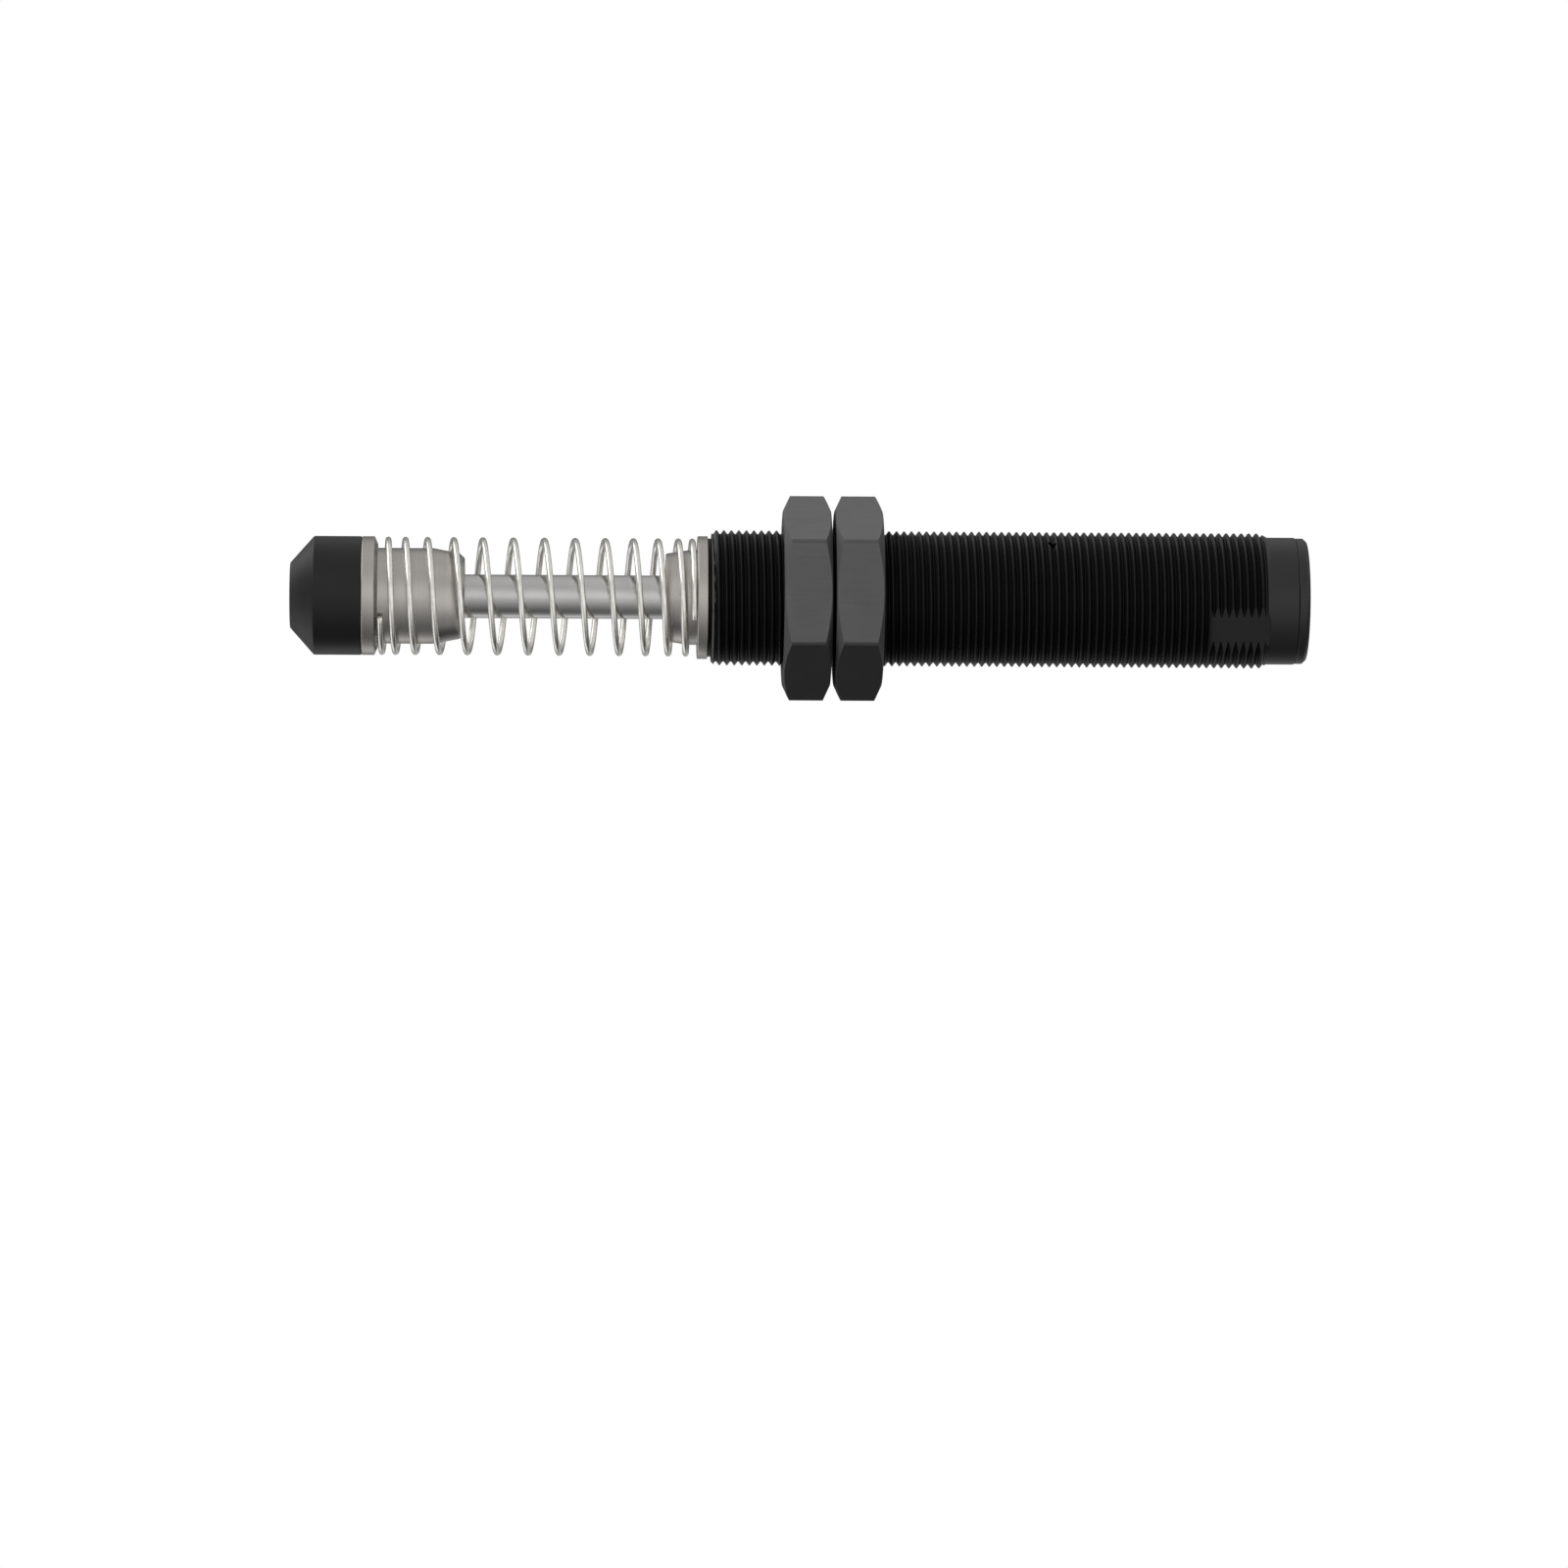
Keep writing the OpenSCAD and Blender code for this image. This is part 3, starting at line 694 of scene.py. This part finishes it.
def lock_nut(node, name):
    """Hexagon nut with both faces chamfered at 25 degrees, so that each flat ends in two arcs, and its corners turned down a little."""
    low, high = along(node)
    face_r, corner_r, slope, bore = 17.5, 20.45, math.tan(math.radians(25)), 13.55
    columns = []
    for angle, reach in hexagon(35.7, corner_r, -2.5):
        across, up = math.cos(math.radians(angle)), math.sin(math.radians(angle))
        rise = (reach - face_r) * slope
        profile = [(bore, low + 0.7, 0.08), (bore + 0.7, low, 0.08), (face_r, low, 0.25), (reach, low + rise, 0.14),
                   (reach, high - rise, 0.14), (face_r, high, 0.25), (bore + 0.7, high, 0.08), (bore, high - 0.7, 0.08)]
        columns.append([(x, r * across, r * up) for r, x in rounded(profile, True)])
    return solid(name, *grid(columns, True))


# ---------------------------------------------------------------- camera, floor and light

AIM_X, AIM_Z = (FRONT + 14.8) / 1000, -0.03713
REACH, YAW, ROLL = 1.55, math.radians(1.73), math.radians(0.311)
LENS = 178.2

camera = bpy.data.objects.new("camera", bpy.data.cameras.new("camera"))
bpy.context.scene.collection.objects.link(camera)
camera.data.sensor_width, camera.data.lens = 36.0, LENS
camera.data.clip_start, camera.data.clip_end = 0.05, 6.0
camera.location = (AIM_X - REACH * math.tan(YAW), -REACH, AIM_Z)
look = Vector((AIM_X, 0, AIM_Z)) - camera.location
camera.rotation_mode = "QUATERNION"
camera.rotation_quaternion = look.to_track_quat("-Z", "Y") @ Quaternion((0, 0, 1), ROLL)
bpy.context.scene.camera = camera

scene = bpy.context.scene
scene.view_settings.view_transform = "Standard"
scene.view_settings.look = "None"
scene.view_settings.exposure, scene.view_settings.gamma = 0.0, 1.0


def floor():
    """A wide pale floor well below the part, seamless with the backdrop."""
    size, height = 9.0, -1.0
    mesh = bpy.data.meshes.new("floor")
    mesh.from_pydata([(-size, -size, height), (size, -size, height), (size, size, height), (-size, size, height)], [], [(0, 1, 2, 3)])
    ob = bpy.data.objects.new("floor", mesh)
    scene.collection.objects.link(ob)
    m = bpy.data.materials.new("pale_floor")
    m.use_nodes = True
    t = m.node_tree
    t.nodes.clear()
    out, glow = t.nodes.new("ShaderNodeOutputMaterial"), t.nodes.new("ShaderNodeEmission")
    glow.inputs["Color"].default_value = (1, 1, 1, 1)
    glow.inputs["Strength"].default_value = 1.0
    t.links.new(glow.outputs[0], out.inputs["Surface"])
    mesh.materials.append(m)
    ob.visible_diffuse = ob.visible_glossy = ob.visible_transmission = ob.visible_shadow = False


# brightness of the soft boxes round the part, by the angle about the X axis: 0 is the camera's side, 90 is up
CAP_HALF = [(-180, .30), (-160, .27), (-149, .36), (-141, .75), (-133, .95), (-127, .86), (-120, .68), (-114, .52), (-106, .36), (-97, .20),
            (-88, .12), (-80, .10), (-69, .15), (-57, .23), (-46, .29), (-35, .35), (-24, .47), (-13, .60), (-3, .81), (7, .87), (18, .85),
            (28, .77), (39, .66), (50, .57), (62, .57), (74, .62), (88, .65), (103, .60), (122, .58), (130, .50), (138, .36), (155, .22)]
THREAD_HALF = [(-180, .30), (-162, .50), (-136, .22), (-120, .045), (-107, .07), (-96, .12), (-86, .315), (-76, .31), (-67, .365), (-59, .40),
               (-51, .50), (-43, .60), (-28, .85), (-7, .93), (7, .87), (14, .85), (21, .75), (28, .66), (43, .66), (51, .71), (67, .75),
               (76, .71), (86, .66), (96, .65), (107, .69), (120, .65), (136, .47), (155, .22), (180, .28)]
# the wall beyond the cap, by height
NOSE_END = [(-1, .9), (-0.43, .9), (-0.365, .78), (-0.24, .67), (-0.1, .52), (0, .44), (0.34, .46), (0.385, .5), (0.41, .95), (0.43, 1.0),
            (0.47, 1.8), (1, 1.8)]
AMBIENT = 0.07


def studio():
    """White backdrop, and round the part a soft studio whose tones change about the X axis and from one end of the room to the other."""
    world = bpy.data.worlds.new("studio")
    scene.world = world
    world.use_nodes = True
    t = world.node_tree
    t.nodes.clear()

    def add(kind, **props):
        node = t.nodes.new(kind)
        for k, v in props.items():
            setattr(node, k, v)
        return node

    def calc(operation, a, b=None, clamp=False):
        node = add("ShaderNodeMath", operation=operation, use_clamp=clamp)
        for i, v in enumerate((a, b)):
            if isinstance(v, bpy.types.NodeSocket):
                t.links.new(v, node.inputs[i])
            elif v is not None:
                node.inputs[i].default_value = v
        return node.outputs[0]

    direction = add("ShaderNodeTexCoord").outputs["Generated"]
    split = add("ShaderNodeSeparateXYZ")
    t.links.new(direction, split.inputs[0])
    x, y, z = split.outputs
    angle = calc("ARCTAN2", z, calc("MULTIPLY", y, -1.0))

    def ramp(value, low, high, stops, scale=1.0):
        """A tone for each of the given values, read along straight lines between them."""
        share = calc("MULTIPLY_ADD", value, 1 / (high - low))
        share.node.inputs[2].default_value = -low / (high - low)
        node = add("ShaderNodeValToRGB")
        node.color_ramp.interpolation = "LINEAR"
        elements = node.color_ramp.elements
        while len(elements) > 1:
            elements.remove(elements[-1])
        for i, (at, tone) in enumerate(stops):
            e = elements[0] if i == 0 else elements.new((at - low) / (high - low))
            e.position, e.color = (at - low) / (high - low), (tone / scale,) * 3 + (1,)
        t.links.new(share, node.inputs[0])
        return calc("MULTIPLY", node.outputs[0], scale)

    def ease(value, low, high):
        node = add("ShaderNodeMapRange", interpolation_type="SMOOTHSTEP", clamp=True)
        t.links.new(value, node.inputs[0])
        node.inputs[1].default_value, node.inputs[2].default_value = low, high
        return node.outputs[0]

    def blend(factor, a, b):
        return calc("ADD", calc("MULTIPLY", a, calc("SUBTRACT", 1.0, factor)), calc("MULTIPLY", b, factor))

    turn = [math.radians(v) for v in (-180, 180)]
    cap_half = ramp(angle, *turn, [(math.radians(d), v) for d, v in CAP_HALF])
    thread_half = ramp(angle, *turn, [(math.radians(d), v) for d, v in THREAD_HALF])
    around = blend(ease(x, -0.01, 0.05), cap_half, thread_half)
    beyond = ramp(z, -1, 1, NOSE_END, 2.0)
    beyond = calc("MULTIPLY", beyond, calc("SUBTRACT", 1.0, calc("MULTIPLY", ease(y, 0.66, 0.84), 0.65)))
    # the wall starts further round at mid height
    start = calc("MULTIPLY_ADD", calc("MINIMUM", calc("DIVIDE", calc("ABSOLUTE", z), 0.35), 1.0), 0.53)
    start.node.inputs[2].default_value = -0.93
    tone = blend(calc("SUBTRACT", 1.0, ease(calc("SUBTRACT", x, start), -0.1, 0.1)), around, beyond)
    shiny = add("ShaderNodeBackground")
    shiny.inputs["Color"].default_value = (1, 1, 1, 1)
    t.links.new(tone, shiny.inputs["Strength"])
    soft = add("ShaderNodeBackground")
    soft.inputs["Color"].default_value = (1, 1, 1, 1)
    soft.inputs["Strength"].default_value = AMBIENT
    white = add("ShaderNodeBackground")
    white.inputs["Color"].default_value = (1, 1, 1, 1)
    white.inputs["Strength"].default_value = 1.0
    path = add("ShaderNodeLightPath")
    by_ray, seen = add("ShaderNodeMixShader"), add("ShaderNodeMixShader")
    t.links.new(path.outputs["Is Diffuse Ray"], by_ray.inputs[0])
    t.links.new(shiny.outputs[0], by_ray.inputs[1])
    t.links.new(soft.outputs[0], by_ray.inputs[2])
    t.links.new(path.outputs["Is Camera Ray"], seen.inputs[0])
    t.links.new(by_ray.outputs[0], seen.inputs[1])
    t.links.new(white.outputs[0], seen.inputs[2])
    out = add("ShaderNodeOutputWorld")
    t.links.new(seen.outputs[0], out.inputs["Surface"])
    world.cycles.sampling_method = "NONE"


def key(name, place, power, length=1.4, height=0.5):
    """A soft box that lights the part's own colours but is not mirrored in it."""
    data = bpy.data.lights.new(name, "AREA")
    data.shape, data.size, data.size_y, data.energy = "RECTANGLE", length, height, power
    ob = bpy.data.objects.new(name, data)
    scene.collection.objects.link(ob)
    ob.location = place
    ob.rotation_mode = "QUATERNION"
    ob.rotation_quaternion = (-Vector(ob.location)).to_track_quat("-Z", "Y")
    ob.visible_camera = ob.visible_glossy = False
    return ob


floor()
studio()
def aside(x, angle, far=1.5):
    """A place at a distance from the part, at an angle about the X axis from the camera's side and x along it."""
    off = math.sqrt(far * far - x * x)
    return x, -off * math.cos(math.radians(angle)), off * math.sin(math.radians(angle))


key("key_front", aside(-0.50, 37.5), 18.5, 1.0)
key("key_back", aside(-0.50, 137.5), 10.8, 1.0)
key("key_rear", aside(1.40, 35.0), 3.6, 1.0, 1.0)


# ---------------------------------------------------------------- assembly

for node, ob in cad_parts.items():
    for s in ob.material_slots:
        name = (s.material.name if s.material else "").split(".")[0]
        if name in BY_SLOT:
            s.material = BY_SLOT[name]

place(bumper_cap(), "rod", "urethane", ["bumper_cap"], CAP_SKIN)
place(strike_head(), "rod", "nickel_steel", ["strike_head"], NICKEL)
place(piston_rod(), "rod", "hard_chrome", ["piston_rod"], CHROME)
spring = place(return_spring(), "barrel", "spring_steel", ["return_spring"], WIRE)
place(bearing_housing(), "barrel", "nickel_steel", ["bearing_housing"], NICKEL)
place(rod_wiper(), "barrel", "nitrile_rubber", ["rod_wiper"], RUBBER)
place(body_tube(), "barrel", "black_oxide_body", ["body_tube"], BODY_SKIN)
place(side_port_plug(), "barrel", "black_oxide_body", ["side_port_plug"], BODY_SKIN)
place(rear_end_cap(), "barrel", "black_oxide_cap", ["rear_end_cap"], END_SKIN)
place(fill_screw(), "barrel", "screw_steel", ["fill_screw"], SCREW)
place(lock_nut("lock_nut_front", "hex_nut_front"), "lock_nut_front", "black_oxide_nut", ["lock_nut_front"], NUT_SKIN, 20.0)
place(lock_nut("lock_nut_rear", "hex_nut_rear"), "lock_nut_rear", "black_oxide_nut", ["lock_nut_rear"], NUT_SKIN, 20.0)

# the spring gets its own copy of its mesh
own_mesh(spring)
